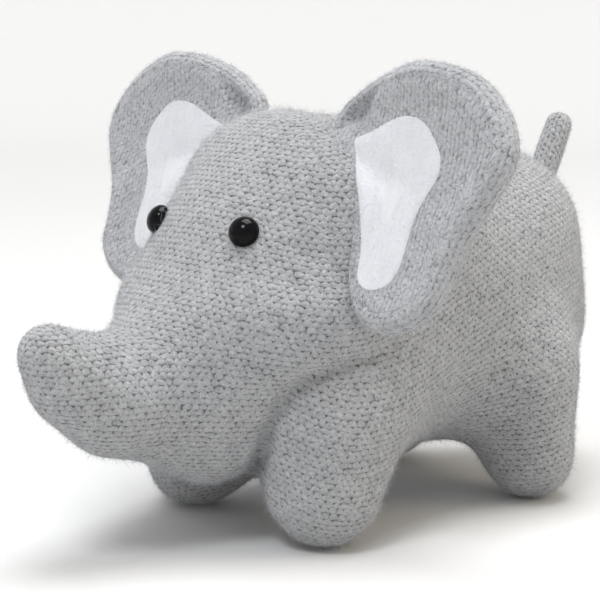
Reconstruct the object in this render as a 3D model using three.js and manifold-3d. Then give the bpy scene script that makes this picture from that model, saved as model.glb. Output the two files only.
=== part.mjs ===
// Stuffed elephant: a small standing plush toy with a knitted cover.
// Millimetres, +Z up, the elephant faces -Y, its own left side is +X.
// Origin: on the floor, in the middle of the toy's length and width.
//
// The cover is sewn from knitted panels over a stuffing; the ears are padded
// flaps sewn to the head along one edge; the eyes are safety eyes, a domed
// button with a shank that goes through the knit into a locking washer.

import * as THREE from "three";
import { mergeVertices } from "three/addons/utils/BufferGeometryUtils.js";
import Module from "manifold-3d";

// ---------------------------------------------------------------- dimensions
const KNIT = 1.6; // thickness of the knitted cover
const GAP = 0.3; // clearance between neighbouring pieces
const FILL = 2.4; // depth of the stuffing's face below the outer surface
const LIFT = 0.0; // the soles stand at z = 0

// the body: rounded masses that run into each other (centre y, z; radii x, y, z)
const BARREL = { c: [0, 45.8, 57.5], r: [42.8, 73.5, 41.5] };
const RUMP = { c: [0, 66.7, 93.3], r: [35.7, 44.2, 30.1] };
const WITHERS = { c: [0, -2.2, 82.0], r: [45.2, 63.2, 54.2] };
const CHEST = { c: [0, -16.3, 53.6], r: [48.5, 40.3, 40.9] };
// the head: skull and cheeks
const SKULL = { c: [0, -23.1, 100.3], r: [45.1, 21.4, 37.8] };
const CHEEKS = { c: [0, -28.6, 74.0], r: [52.0, 46.7, 29.9] };
// the trunk, a short thick cone that turns up (y, z, radius)
const TRUNK = [
  [-55.1, 47.4, 28.8],
  [-89.9, 53.2, 17.8],
  [-105.0, 60.1, 12.2],
  [-113.4, 67.8, 9.6],
];
// the legs (x, y at the sole, sole radius, x and z at the top, top radius)
const FRONT_LEG = { x: 33.1, y: -31.1, r: 18.6, tx: 34.1, ty: -29.1, tz: 39.2, tr: 19.9 };
const REAR_LEG = { x: 36.1, y: 63.1, r: 16.9, tx: 35.0, ty: 61.1, tz: 43.2, tr: 19.3 };
const LEG_CUT_Z = 27; // height of the seam at the top of each leg
const LEG_CUT_R = 24; // radius of that seam

// the neck seam: a tilted plane, head in front of it and body behind it
const NECK_Y = -12.5;
const NECK_Z = 138.2;
const NECK_SLOPE = 0.42;

// the ears lie in a plane that leans back; u is outward, v is up along it
const EAR_Y = -18.12; // the plane at u = 0, v = 0
const EAR_Z = 126.41;
const EAR_LEAN = Math.atan2(0.303, 0.953);
const EAR_HALF = 4.2; // half the ear's padded thickness
const EAR_SKIN = 1.4; // each knitted face of the ear
const EAR_CENTRE = [62, -10];
// the ear's outline (u, v), from the top of the sewn edge round to its foot
const EAR_OUTLINE = [
  [20.8, 16.2], [25.8, 20.3], [34.5, 25.5], [43.8, 28.5], [52.3, 30.3], [60.2, 30.6],
  [66.9, 30.3], [72.6, 29.5], [78.8, 28.0], [84.9, 25.2], [90.0, 21.5], [94.7, 17.1],
  [98.0, 12.4], [100.5, 6.6], [100.6, 1.0], [99.3, -3.6], [97.0, -8.6], [94.5, -13.8],
  [91.9, -18.9], [89.7, -24.4], [88.2, -31.6], [87.0, -38.3], [85.2, -43.6], [82.0, -48.0],
  [77.6, -51.7], [72.0, -54.3], [66.3, -55.6], [60.7, -55.6], [56.0, -53.8], [51.0, -50.0],
  [42.0, -40.0], [34.0, -20.0], [24.0, -4.0], [18.0, 8.0],
];
// the white inner-ear patch, sewn on the ear's front face
const PATCH_CENTRE = [56, -14];
const PATCH_OUTLINE = [
  [32.5, 4.3], [35.0, -0.5], [38.5, -6.2], [42.6, -13.3], [46.0, -20.2], [49.0, -27.5],
  [50.4, -33.0], [51.2, -37.6], [53.0, -41.0], [56.8, -42.6], [61.5, -41.9], [65.2, -39.6],
  [67.2, -36.2], [68.0, -31.7], [67.9, -26.2], [68.2, -20.2], [69.4, -14.8], [71.6, -10.2],
  [73.6, -6.6], [74.2, -2.5], [73.1, 1.6], [69.9, 5.9], [66.0, 9.6], [61.5, 11.8],
  [56.3, 12.3], [51.2, 11.4], [46.1, 9.5], [40.5, 7.2], [35.5, 5.6],
];
const PATCH_HALF = 0.5;
// the line the ear swings about, along its sewn edge (x, y, z)
const EAR_HINGE_A = [28, -15.5, 135.0];
const EAR_HINGE_B = [52, -33.5, 77.4];
const EAR_BACK = 40; // degrees the flap folds back towards the flank
const EAR_FORWARD = 45; // and forward over the face

// the tail: a stuffed finger that stands up and leans back (y, z)
const TAIL_BASE = [107.0, 105.9];
const TAIL_TIP = [117.55, 127.6];
const TAIL_R = [4.5, 5.3, 4.9]; // radius at the base, in the middle, at the tip
const TAIL_SWING = 30; // degrees up and down

// the safety eyes
const EYE_R = 5.0; // half of a 10 mm eye
const EYE_RISE = 4.3;
const EYE_AT = [21.79, -54.44, 102.79];
const EYE_OUT = [0.45, -0.76, 0.46];
const SHANK_R = 1.9;
const SHANK_LENGTH = 8;
const WASHER_R = 6.0;
const WASHER_T = 1.2;

// ------------------------------------------------------------ implicit shape
const hypot = Math.hypot;
const massDistance = ({ c, r }, p) => {
  const x = p[0] - c[0], y = p[1] - c[1], z = p[2] - c[2];
  const k0 = hypot(x / r[0], y / r[1], z / r[2]) + 1e-9;
  const k1 = hypot(x / r[0] ** 2, y / r[1] ** 2, z / r[2] ** 2) + 1e-9;
  return (k0 * (k0 - 1)) / k1;
};
const coneDistance = (p, a, b, ra, rb) => {
  const d = [b[0] - a[0], b[1] - a[1], b[2] - a[2]];
  const q = [p[0] - a[0], p[1] - a[1], p[2] - a[2]];
  const dd = d[0] ** 2 + d[1] ** 2 + d[2] ** 2;
  const t = Math.min(1, Math.max(0, (q[0] * d[0] + q[1] * d[1] + q[2] * d[2]) / dd));
  return hypot(q[0] - t * d[0], q[1] - t * d[1], q[2] - t * d[2]) - (ra + t * (rb - ra));
};
const soften = (a, b, k) => {
  const h = Math.min(1, Math.max(0, 0.5 + (0.5 * (b - a)) / k));
  return b + (a - b) * h - k * h * (1 - h);
};
const mirrorX = (p) => [Math.abs(p[0]), p[1], p[2]];
const bodyOnly = (p) => {
  let d = soften(massDistance(BARREL, p), massDistance(RUMP, p), 24);
  d = soften(d, massDistance(WITHERS, p), 24);
  return soften(d, massDistance(CHEST, p), 20);
};
const legOnly = (leg) => (p) =>
  coneDistance(p, [leg.x, leg.y, leg.r - 0.8], [leg.tx, leg.ty, leg.tz], leg.r, leg.tr);
const headOnly = (p) => soften(massDistance(SKULL, p), massDistance(CHEEKS, p), 16);
const trunkOnly = (p) => {
  const seg = (i) =>
    coneDistance(p, [0, TRUNK[i][0], TRUNK[i][1]], [0, TRUNK[i + 1][0], TRUNK[i + 1][1]], TRUNK[i][2], TRUNK[i + 1][2]);
  return soften(soften(seg(0), seg(1), 10), seg(2), 10);
};
const skin = (point) => {
  const p = mirrorX(point);
  let d = bodyOnly(p);
  d = soften(d, legOnly(FRONT_LEG)(p), 18);
  d = soften(d, legOnly(REAR_LEG)(p), 18);
  return soften(d, soften(headOnly(p), trunkOnly(p), 22), 12);
};

// ------------------------------------------------------------------- solids
const wasm = await Module();
wasm.setup();

const toSolid = (geometry) => {
  const g0 = geometry.index ? geometry : geometry.clone();
  g0.deleteAttribute("normal");
  g0.deleteAttribute("uv");
  const g = mergeVertices(g0, 1e-5);
  return new wasm.Manifold(
    new wasm.Mesh({
      numProp: 3,
      vertProperties: new Float32Array(g.attributes.position.array),
      triVerts: new Uint32Array(g.index.array),
    }),
  );
};
const toGeometry = (solid) => {
  const m = solid.getMesh();
  const g = new THREE.BufferGeometry();
  g.setAttribute("position", new THREE.BufferAttribute(new Float32Array(m.vertProperties), 3));
  g.setIndex(new THREE.BufferAttribute(new Uint32Array(m.triVerts), 1));
  g.computeVertexNormals();
  return g;
};

// A closed body seen whole from one centre: a sphere whose points are drawn out
// until they meet the surface that the distance function gives, at a level.
const drawnOut = (centre, distance, around, down, level, pole = "y") => {
  const g = new THREE.SphereGeometry(1, around, down);
  if (pole === "z") g.rotateX(Math.PI / 2);
  const at = g.attributes.position;
  const v = new THREE.Vector3();
  for (let i = 0; i < at.count; i++) {
    v.fromBufferAttribute(at, i).normalize();
    const p = (r) => [centre[0] + v.x * r, centre[1] + v.y * r, centre[2] + v.z * r];
    let lo = 0, hi = 1;
    while (distance(p(hi)) < level && hi < 200) { lo = hi; hi += 1; }
    for (let k = 0; k < 24; k++) {
      const mid = (lo + hi) / 2;
      if (distance(p(mid)) < level) lo = mid; else hi = mid;
    }
    at.setXYZ(i, ...p(lo));
  }
  return toSolid(g);
};

const block = (w, d, h, x, y, z, turn = 0) => {
  const g = new THREE.BoxGeometry(w, d, h);
  if (turn) g.rotateX(turn);
  g.translate(x, y, z);
  return toSolid(g);
};
const drum = (r, z0, z1, x, y) => {
  const g = new THREE.CylinderGeometry(r, r, z1 - z0, 18);
  g.rotateX(Math.PI / 2);
  g.translate(x, y, (z0 + z1) / 2);
  return toSolid(g);
};

// The whole toy without ears, tail and eyes, at a level below its surface.
const toyAt = (level) => {
  const near = (only, reach) => (p) => Math.max(skin(p), only(mirrorX(p)) - reach);
  const n = (a) => a;
  let all = drawnOut([0, 40, 68], near(bodyOnly, 7), n(24), n(14), level);
  all = all.add(drawnOut([0, -34, 84], near(headOnly, 6), n(22), n(13), level));
  all = all.add(drawnOut([0, -84, 54], near(trunkOnly, 4), n(14), n(10), level));
  for (const side of [1, -1])
    for (const leg of [FRONT_LEG, REAR_LEG]) {
      const only = (p) => legOnly(leg)(p);
      all = all.add(
        drawnOut([side * leg.x, leg.y, 22], near(only, 4), n(14), n(9), level, "z"),
      );
    }
  return all.subtract(block(400, 400, 60, 0, 0, LIFT - level - 30));
};

const outer = toyAt(0);
const grown = toyAt(1.0);
const inner = toyAt(-KNIT);
const fill = toyAt(-FILL);
const cover = outer.subtract(inner);

// seams
const neckTurn = -Math.atan(NECK_SLOPE);
const neckBlock = (shift) => {
  // everything in front of the neck seam, moved back by shift
  const g = new THREE.BoxGeometry(300, 300, 500);
  g.translate(0, -150 + shift, 0);
  g.rotateX(neckTurn);
  g.translate(0, NECK_Y, NECK_Z);
  return toSolid(g);
};
const headZone = neckBlock(-GAP / 2);
const headZoneGrown = neckBlock(GAP / 2);
const legs = [];
for (const [side, s] of [["left", 1], ["right", -1]])
  for (const [end, leg] of [["front", FRONT_LEG], ["rear", REAR_LEG]])
    legs.push({
      name: `${end}_leg_${side}`,
      zone: drum(LEG_CUT_R, -5, LEG_CUT_Z, s * leg.x, leg.y),
      zoneGrown: drum(LEG_CUT_R + GAP, -6, LEG_CUT_Z + GAP, s * leg.x, leg.y),
    });

// ---------------------------------------------------------------------- eyes
const quaternionTo = (out) =>
  new THREE.Quaternion().setFromUnitVectors(new THREE.Vector3(0, 1, 0), new THREE.Vector3(...out).normalize());
const turned = (profile, side, lift, segments) => {
  const g = new THREE.LatheGeometry(profile.map((p) => new THREE.Vector2(p[0], p[1])), segments);
  const out = [side * EYE_OUT[0], EYE_OUT[1], EYE_OUT[2]];
  const n = new THREE.Vector3(...out).normalize();
  g.applyQuaternion(quaternionTo(out));
  g.translate(side * EYE_AT[0] + n.x * lift, EYE_AT[1] + n.y * lift, EYE_AT[2] + n.z * lift);
  return g;
};
const eyeProfile = [[0, -SHANK_LENGTH], [SHANK_R, -SHANK_LENGTH], [SHANK_R, 0], [EYE_R - 0.5, 0], [EYE_R, 0.5]];
for (let i = 1; i <= 5; i++) {
  const a = (i / 5) * (Math.PI / 2);
  eyeProfile.push([i === 5 ? 0 : EYE_R * Math.cos(a), 0.5 + (EYE_RISE - 0.5) * Math.sin(a)]);
}
const washerProfile = [[SHANK_R + 0.3, 0], [WASHER_R, 0], [WASHER_R, WASHER_T], [SHANK_R + 0.3, WASHER_T], [SHANK_R + 0.3, 0]];
const EYE_LIFT = 0.35;
const WASHER_LIFT = -KNIT - 1.5 - WASHER_T;
const eyes = {}, washers = {}, holes = {}, pockets = {};
for (const [side, s] of [["left", 1], ["right", -1]]) {
  eyes[side] = turned(eyeProfile, s, EYE_LIFT, 18);
  washers[side] = turned(washerProfile, s, WASHER_LIFT, 14);
  holes[side] = toSolid(turned([[0, -9], [SHANK_R + 0.4, -9], [SHANK_R + 0.4, 4], [0, 4]], s, 0, 12));
  pockets[side] = toSolid(turned([[0, -SHANK_LENGTH - 0.4], [WASHER_R + 0.5, -SHANK_LENGTH - 0.4], [WASHER_R + 0.5, 2], [0, 2]], s, 0, 12));
}

// ---------------------------------------------------------------------- tail
const tailAxis = new THREE.Vector3(0, TAIL_TIP[0] - TAIL_BASE[0], TAIL_TIP[1] - TAIL_BASE[1]);
const tailLength = tailAxis.length();
const tailProfile = (shrink) => {
  const out = [];
  const rb = TAIL_R[0] - shrink, rt = TAIL_R[2] - shrink;
  for (let i = 0; i <= 3; i++) {
    const a = -Math.PI / 2 + (i / 3) * (Math.PI / 2);
    out.push([i === 0 ? 0 : rb * Math.cos(a), rb * Math.sin(a)]);
  }
  for (let i = 1; i <= 3; i++) {
    const t = i / 4;
    const r = TAIL_R[0] * (1 - t) ** 2 + 2 * (TAIL_R[1] + 0.4) * t * (1 - t) + TAIL_R[2] * t * t;
    out.push([r - shrink, tailLength * t]);
  }
  for (let i = 0; i <= 3; i++) {
    const a = (i / 3) * (Math.PI / 2);
    out.push([i === 3 ? 0 : rt * Math.cos(a), tailLength + rt * Math.sin(a)]);
  }
  return out;
};
const tailSolid = (shrink, swing = 0, segments = 14) => {
  const g = new THREE.LatheGeometry(tailProfile(shrink).map((p) => new THREE.Vector2(p[0], p[1])), segments);
  g.applyQuaternion(new THREE.Quaternion().setFromUnitVectors(new THREE.Vector3(0, 1, 0), tailAxis.clone().normalize()));
  if (swing) g.rotateX((swing * Math.PI) / 180);
  g.translate(0, TAIL_BASE[0], TAIL_BASE[1]);
  return toSolid(g);
};
let tailSweep = tailSolid(-0.5, 0, 10);
for (const a of [-TAIL_SWING, TAIL_SWING]) tailSweep = tailSweep.add(tailSolid(-0.5, a, 10));
const tailOuter = tailSolid(0);
const tailCover = tailOuter
  .subtract(tailSolid(KNIT - 0.3))
  .subtract(toSolid(new THREE.SphereGeometry(3.2, 10, 6).translate(0, TAIL_BASE[0], TAIL_BASE[1]).rotateX(0)));
const tailOpen = (() => {
  // the end of the tail cover that is sewn on is open
  const g = new THREE.CylinderGeometry(TAIL_R[0] - KNIT + 0.3, TAIL_R[0] - KNIT + 0.3, 8, 16);
  g.translate(0, -4, 0);
  g.applyQuaternion(new THREE.Quaternion().setFromUnitVectors(new THREE.Vector3(0, 1, 0), tailAxis.clone().normalize()));
  g.translate(0, TAIL_BASE[0], TAIL_BASE[1]);
  return toSolid(g);
})();

// ---------------------------------------------------------------------- ears
const earFrame = new THREE.Matrix4().makeBasis(
  new THREE.Vector3(1, 0, 0),
  new THREE.Vector3(0, Math.sin(EAR_LEAN), Math.cos(EAR_LEAN)),
  new THREE.Vector3(0, -Math.cos(EAR_LEAN), Math.sin(EAR_LEAN)),
);
earFrame.setPosition(0, EAR_Y, EAR_Z);
// distance from a centre to a closed outline, in a direction
const reachOf = (outline, centre) => {
  const curve = new THREE.CatmullRomCurve3(outline.map((p) => new THREE.Vector3(p[0], p[1], 0)), true, "centripetal");
  const points = curve.getPoints(240);
  const list = points.map((p) => [Math.atan2(p.y - centre[1], p.x - centre[0]), hypot(p.x - centre[0], p.y - centre[1])]);
  list.sort((a, b) => a[0] - b[0]);
  return (angle) => {
    let a = Math.atan2(Math.sin(angle), Math.cos(angle));
    for (let i = 0; i < list.length; i++) {
      const p = list[i], q = list[(i + 1) % list.length];
      const span = q[0] - p[0] + (i === list.length - 1 ? 2 * Math.PI : 0);
      let d = a - p[0];
      if (d < 0 && i === list.length - 1) d += 2 * Math.PI;
      if (d >= 0 && d <= span) return p[1] + ((q[1] - p[1]) * d) / (span || 1);
    }
    return list[0][1];
  };
};
const earReach = reachOf(EAR_OUTLINE, EAR_CENTRE);
const earHeight = (u, v, shrink) => {
  const du = u - EAR_CENTRE[0], dv = v - EAR_CENTRE[1];
  const rho = Math.min(1, hypot(du, dv) / earReach(Math.atan2(dv, du)));
  return EAR_HALF * Math.sqrt(Math.max(0, 1 - rho ** 4)) - shrink;
};
const earLens = (shrink, around, down) => {
  const g = new THREE.SphereGeometry(1, around, down);
  g.rotateX(Math.PI / 2);
  const at = g.attributes.position;
  for (let i = 0; i < at.count; i++) {
    const x = at.getX(i), y = at.getY(i), z = at.getZ(i);
    const rho = hypot(x, y);
    const angle = Math.atan2(y, x);
    const reach = earReach(angle) - shrink;
    // spread the rings so that the rim is round and the middle nearly flat
    const out = Math.sqrt(rho);
    at.setXYZ(
      i,
      EAR_CENTRE[0] + (rho > 1e-6 ? Math.cos(angle) * reach * out : 0),
      EAR_CENTRE[1] + (rho > 1e-6 ? Math.sin(angle) * reach * out : 0),
      (EAR_HALF - shrink) * z,
    );
  }
  g.applyMatrix4(earFrame);
  return toSolid(g);
};
const patchReach = reachOf(PATCH_OUTLINE, PATCH_CENTRE);
const patchLens = () => {
  const g = new THREE.SphereGeometry(1, 22, 8);
  g.rotateX(Math.PI / 2);
  const at = g.attributes.position;
  for (let i = 0; i < at.count; i++) {
    const x = at.getX(i), y = at.getY(i), z = at.getZ(i);
    const rho = hypot(x, y), angle = Math.atan2(y, x);
    const reach = patchReach(angle) * Math.sqrt(rho);
    const u = PATCH_CENTRE[0] + (rho > 1e-6 ? Math.cos(angle) * reach : 0);
    const v = PATCH_CENTRE[1] + (rho > 1e-6 ? Math.sin(angle) * reach : 0);
    at.setXYZ(i, u, v, EAR_HALF + 0.35 + PATCH_HALF + PATCH_HALF * z);
  }
  g.applyMatrix4(earFrame);
  return toSolid(g);
};
const earSplit = (front) => {
  const g = new THREE.BoxGeometry(300, 300, 60);
  g.translate(0, 0, front ? 30 + GAP / 2 : -30 - GAP / 2);
  g.applyMatrix4(earFrame);
  return toSolid(g);
};
// where the ear must not reach: the head, seen from every position of the flap
const hingeA = new THREE.Vector3(...EAR_HINGE_A);
const hingeDir = new THREE.Vector3(...EAR_HINGE_B).sub(hingeA).normalize();
const turnAboutHinge = (degrees) => {
  const q = new THREE.Quaternion().setFromAxisAngle(hingeDir, (degrees * Math.PI) / 180);
  return new THREE.Matrix4()
    .makeTranslation(hingeA.x, hingeA.y, hingeA.z)
    .multiply(new THREE.Matrix4().makeRotationFromQuaternion(q))
    .multiply(new THREE.Matrix4().makeTranslation(-hingeA.x, -hingeA.y, -hingeA.z));
};
const grownLeft = grown.intersect(block(140, 200, 160, 70.5, -40, 90));
const grownGeometry = toGeometry(grownLeft);
let earKeepOut = null;
for (let a = -EAR_BACK - 1; a <= EAR_FORWARD + 1; a += 21.75) {
  const g = grownGeometry.clone();
  g.applyMatrix4(turnAboutHinge(-a));
  const s = toSolid(g);
  earKeepOut = earKeepOut ? earKeepOut.add(s) : s;
}
const earOuter = earLens(0, 26, 8);
const earInner = earLens(EAR_SKIN, 26, 8);
const earPad = earLens(EAR_SKIN + GAP + 0.3, 26, 6);
const earShell = earOuter.subtract(earInner);
const earParts = {
  ear_front: earShell.intersect(earSplit(true)).subtract(earKeepOut),
  ear_back: earShell.intersect(earSplit(false)).subtract(earKeepOut),
  ear_padding: earPad.subtract(earKeepOut),
  inner_ear_patch: patchLens().subtract(earKeepOut),
};
const mirrored = (solid) => {
  const m = solid.getMesh();
  const p = new Float32Array(m.vertProperties);
  for (let i = 0; i < p.length; i += 3) p[i] = -p[i];
  const t = new Uint32Array(m.triVerts);
  for (let i = 0; i < t.length; i += 3) [t[i + 1], t[i + 2]] = [t[i + 2], t[i + 1]];
  return new wasm.Manifold(new wasm.Mesh({ numProp: 3, vertProperties: p, triVerts: t }));
};

// ----------------------------------------------------------------- materials
const finish = (name, color, roughness, metalness = 0) =>
  new THREE.MeshStandardMaterial({ name, color, roughness, metalness });
const paint = {
  knit: () => finish("grey_knit", 0xa4a6aa, 0.95),
  fleece: () => finish("white_fleece", 0xe4e6ea, 0.92),
  stuffing: () => finish("stuffing", 0xf2f0ea, 1.0),
  eye: () => finish("eye_plastic", 0x050506, 0.08),
  washer: () => finish("washer_plastic", 0xd9d9d6, 0.5),
};

const elephant = new THREE.Group();
elephant.name = "stuffed_elephant";
const place = (name, geometry, material, parent = elephant) => {
  const mesh = new THREE.Mesh(geometry, material);
  mesh.name = name;
  parent.add(mesh);
  return mesh;
};
// only the largest piece of a cut is kept, so that every node is one body
const whole = (solid) => {
  const parts = solid.decompose();
  parts.sort((a, b) => b.volume() - a.volume());
  return parts[0];
};

// ------------------------------------------------------------------ assembly
let bodyCover = cover.subtract(headZoneGrown).subtract(tailSweep);
let bodyFill = fill.subtract(neckBlock(GAP)).subtract(tailSweep);
for (const leg of legs) {
  bodyCover = bodyCover.subtract(leg.zoneGrown);
  bodyFill = bodyFill.subtract(leg.zoneGrown);
  place(`${leg.name}_cover`, toGeometry(whole(cover.intersect(leg.zone))), paint.knit());
  place(`${leg.name}_stuffing`, toGeometry(whole(fill.intersect(leg.zone))), paint.stuffing());
}
const halves = { left: block(300, 500, 500, 150 + GAP / 2, 0, 0), right: block(300, 500, 500, -150 - GAP / 2, 0, 0) };
for (const side of ["left", "right"])
  place(`body_cover_${side}`, toGeometry(whole(bodyCover.intersect(halves[side]))), paint.knit());
place("body_stuffing", toGeometry(whole(bodyFill)), paint.stuffing());

let headCover = cover.intersect(headZone);
let headFill = fill.intersect(neckBlock(-GAP));
for (const side of ["left", "right"]) {
  headCover = headCover.subtract(holes[side]);
  headFill = headFill.subtract(pockets[side]);
  place(`eye_${side}`, toGeometry(toSolid(eyes[side])), paint.eye());
  place(`eye_washer_${side}`, toGeometry(toSolid(washers[side])), paint.washer());
}
place("head_cover", toGeometry(whole(headCover)), paint.knit());
place("head_stuffing", toGeometry(whole(headFill)), paint.stuffing());

for (const [side, flip] of [["left", false], ["right", true]]) {
  const ear = new THREE.Group();
  elephant.add(ear);
  for (const [name, solid] of Object.entries(earParts)) {
    const one = whole(solid);
    const material = name === "inner_ear_patch" ? paint.fleece() : name === "ear_padding" ? paint.stuffing() : paint.knit();
    place(`${name}_${side}`, toGeometry(flip ? mirrored(one) : one), material, ear);
  }
}

place("tail_cover", toGeometry(whole(tailCover.subtract(tailOpen))), paint.knit());
place("tail_stuffing", toGeometry(whole(tailSolid(KNIT + 0.05))), paint.stuffing());

export default elephant;
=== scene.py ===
import math

import bmesh
import bpy
import numpy as np
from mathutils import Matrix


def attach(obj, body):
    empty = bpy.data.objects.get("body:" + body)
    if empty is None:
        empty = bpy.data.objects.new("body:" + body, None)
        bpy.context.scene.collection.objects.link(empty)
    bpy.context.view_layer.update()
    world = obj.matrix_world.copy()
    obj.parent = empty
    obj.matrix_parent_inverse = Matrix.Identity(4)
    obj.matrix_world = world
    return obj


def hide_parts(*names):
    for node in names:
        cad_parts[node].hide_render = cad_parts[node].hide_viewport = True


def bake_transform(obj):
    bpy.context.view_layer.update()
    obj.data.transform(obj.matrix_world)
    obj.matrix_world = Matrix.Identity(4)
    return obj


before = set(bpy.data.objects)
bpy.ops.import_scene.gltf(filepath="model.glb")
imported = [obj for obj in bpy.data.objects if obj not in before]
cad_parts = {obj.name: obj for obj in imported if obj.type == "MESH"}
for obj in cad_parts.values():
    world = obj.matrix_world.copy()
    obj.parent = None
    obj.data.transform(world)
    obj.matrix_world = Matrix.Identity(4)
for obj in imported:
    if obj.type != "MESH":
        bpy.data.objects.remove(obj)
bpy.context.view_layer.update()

MM = 0.001

# ------------------------------------------------------------------ camera
CAM_AZ, CAM_EL = math.radians(49.0), math.radians(9.4)
cam = bpy.data.cameras.new("camera")
cam.sensor_width = 36.0
cam.lens = 109.5
cam.clip_start, cam.clip_end = 0.02, 60.0
cam_ob = bpy.data.objects.new("camera", cam)
bpy.context.scene.collection.objects.link(cam_ob)
cam_ob.location = (0.460, -0.4125, 0.1752)
cam_ob.rotation_euler = (math.pi / 2 - CAM_EL, 0.0, CAM_AZ)
bpy.context.scene.camera = cam_ob
bpy.context.scene.view_settings.view_transform = "Standard"

# ------------------------------------------------- the toy's rounded form, mm
BARREL = ((0, 45.8, 57.5), (42.8, 73.5, 41.5))
RUMP = ((0, 66.7, 93.3), (35.7, 44.2, 30.1))
WITHERS = ((0, -2.2, 82.0), (45.2, 63.2, 54.2))
CHEST = ((0, -14.3, 53.6), (48.5, 34.3, 40.9))
SKULL = ((0, -23.1, 100.3), (45.1, 21.4, 37.8))
CHEEKS = ((0, -28.6, 74.0), (52.0, 46.7, 29.9))
TRUNK = ((-55.1, 47.4, 28.8), (-89.9, 53.2, 17.8), (-105.0, 60.8, 12.3), (-113.4, 69.3, 10.0))
FRONT = dict(x=33.1, y=-31.1, r=18.6, tx=34.1, ty=-29.1, tz=39.2, tr=19.9)
REAR = dict(x=36.1, y=63.1, r=16.9, tx=35.0, ty=61.1, tz=43.2, tr=19.3)


def mass(p, m):
    q = p - np.array(m[0], float)
    r = np.array(m[1], float)
    k0 = np.sqrt(((q / r) ** 2).sum(-1)) + 1e-9
    k1 = np.sqrt(((q / r**2) ** 2).sum(-1)) + 1e-9
    return k0 * (k0 - 1) / k1


def cone(p, a, b, ra, rb):
    a, b = np.array(a, float), np.array(b, float)
    d = b - a
    t = np.clip(((p - a) @ d) / (d @ d), 0, 1)
    q = p - (a + t[..., None] * d)
    return np.sqrt((q**2).sum(-1)) - (ra + t * (rb - ra))


def soften(a, b, k):
    h = np.clip(0.5 + 0.5 * (b - a) / k, 0, 1)
    return b + (a - b) * h - k * h * (1 - h)


def leg(p, g):
    return cone(p, (g["x"], g["y"], g["r"] - 0.8), (g["tx"], g["ty"], g["tz"]), g["r"], g["tr"])


def skin(p):
    p = np.stack([np.abs(p[..., 0]), p[..., 1], p[..., 2]], -1)
    d = soften(mass(p, BARREL), mass(p, RUMP), 24)
    d = soften(d, mass(p, WITHERS), 24)
    d = soften(d, mass(p, CHEST), 20)
    d = soften(d, leg(p, FRONT), 18)
    d = soften(d, leg(p, REAR), 18)
    h = soften(mass(p, SKULL), mass(p, CHEEKS), 16)
    t = cone(p, (0, *TRUNK[0][:2]), (0, *TRUNK[1][:2]), TRUNK[0][2], TRUNK[1][2])
    t = soften(t, cone(p, (0, *TRUNK[1][:2]), (0, *TRUNK[2][:2]), TRUNK[1][2], TRUNK[2][2]), 10)
    t = soften(t, cone(p, (0, *TRUNK[2][:2]), (0, *TRUNK[3][:2]), TRUNK[2][2], TRUNK[3][2]), 10)
    # the cheeks are pulled in against the shoulders, and flow smoothly into the crown
    k = 4.0 + 8.0 * np.clip((p[..., 2] - 72) / 30, 0, 1)
    return soften(d, soften(h, t, 22), k)


def slope(p, e=0.4):
    g = np.empty_like(p)
    for i in range(3):
        s = np.zeros(3)
        s[i] = e
        g[:, i] = (skin(p + s) - skin(p - s)) / (2 * e)
    return g


def onto(p, level=0.0, steps=3):
    for _ in range(steps):
        g = slope(p)
        f = skin(p) - level
        p = p - np.clip(f, -4, 4)[:, None] * g / np.maximum((g**2).sum(1), 0.05)[:, None]
    return p


# ------------------------------------------------------------- mesh helpers
def unit(v):
    return v / np.maximum(np.linalg.norm(v, axis=-1, keepdims=True), 1e-12)


def read_mesh(me):
    v = np.empty(len(me.vertices) * 3)
    me.vertices.foreach_get("co", v)
    f = np.array([list(p.vertices) for p in me.polygons if len(p.vertices) == 4], int)
    return v.reshape(-1, 3), f


def make_object(name, verts_mm, faces, smooth=True):
    me = bpy.data.meshes.new(name)
    verts = np.ascontiguousarray(verts_mm * MM, dtype=np.float32)
    me.vertices.add(len(verts))
    me.vertices.foreach_set("co", verts.ravel())
    if isinstance(faces, np.ndarray):
        faces = [faces]
    counts = np.concatenate([np.full(len(f), f.shape[1]) for f in faces])
    loops = np.concatenate([f.ravel() for f in faces]).astype(np.int32)
    starts = np.concatenate([[0], np.cumsum(counts)[:-1]]).astype(np.int32)
    me.loops.add(len(loops))
    me.loops.foreach_set("vertex_index", loops)
    me.polygons.add(len(counts))
    me.polygons.foreach_set("loop_start", starts)
    me.polygons.foreach_set("loop_total", counts.astype(np.int32))
    me.polygons.foreach_set("use_smooth", np.full(len(counts), smooth, dtype=bool))
    me.update(calc_edges=True)
    me.validate()
    ob = bpy.data.objects.new(name, me)
    bpy.context.scene.collection.objects.link(ob)
    return ob


def put_vector(ob, name, data):
    a = ob.data.attributes.new(name, "FLOAT_VECTOR", "POINT")
    a.data.foreach_set("vector", np.ascontiguousarray(data, dtype=np.float32).ravel())


def put_float(ob, name, data):
    a = ob.data.attributes.new(name, "FLOAT", "POINT")
    a.data.foreach_set("value", np.ascontiguousarray(data, dtype=np.float32).ravel())


def edges_of(f):
    k = f.shape[1]
    e = np.concatenate([f[:, [i, (i + 1) % k]] for i in range(k)])
    e.sort(axis=1)
    return np.unique(e, axis=0)


def neighbours(n, f):
    e = edges_of(f)
    d = np.concatenate([e, e[:, ::-1]])
    d = d[np.argsort(d[:, 0], kind="stable")]
    start = np.searchsorted(d[:, 0], np.arange(n))
    rank = np.arange(len(d)) - start[d[:, 0]]
    table = np.zeros((n, int(rank.max()) + 1), int)
    weight = np.zeros(table.shape)
    table[d[:, 0], rank] = d[:, 1]
    weight[d[:, 0], rank] = 1.0
    return table, weight


def average(values, nb):
    table, weight = nb
    w = weight[..., None] if values.ndim > 1 else weight
    return (values[table] * w).sum(1) / np.maximum(weight.sum(1), 1).reshape((-1,) + (1,) * (values.ndim - 1))


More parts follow.
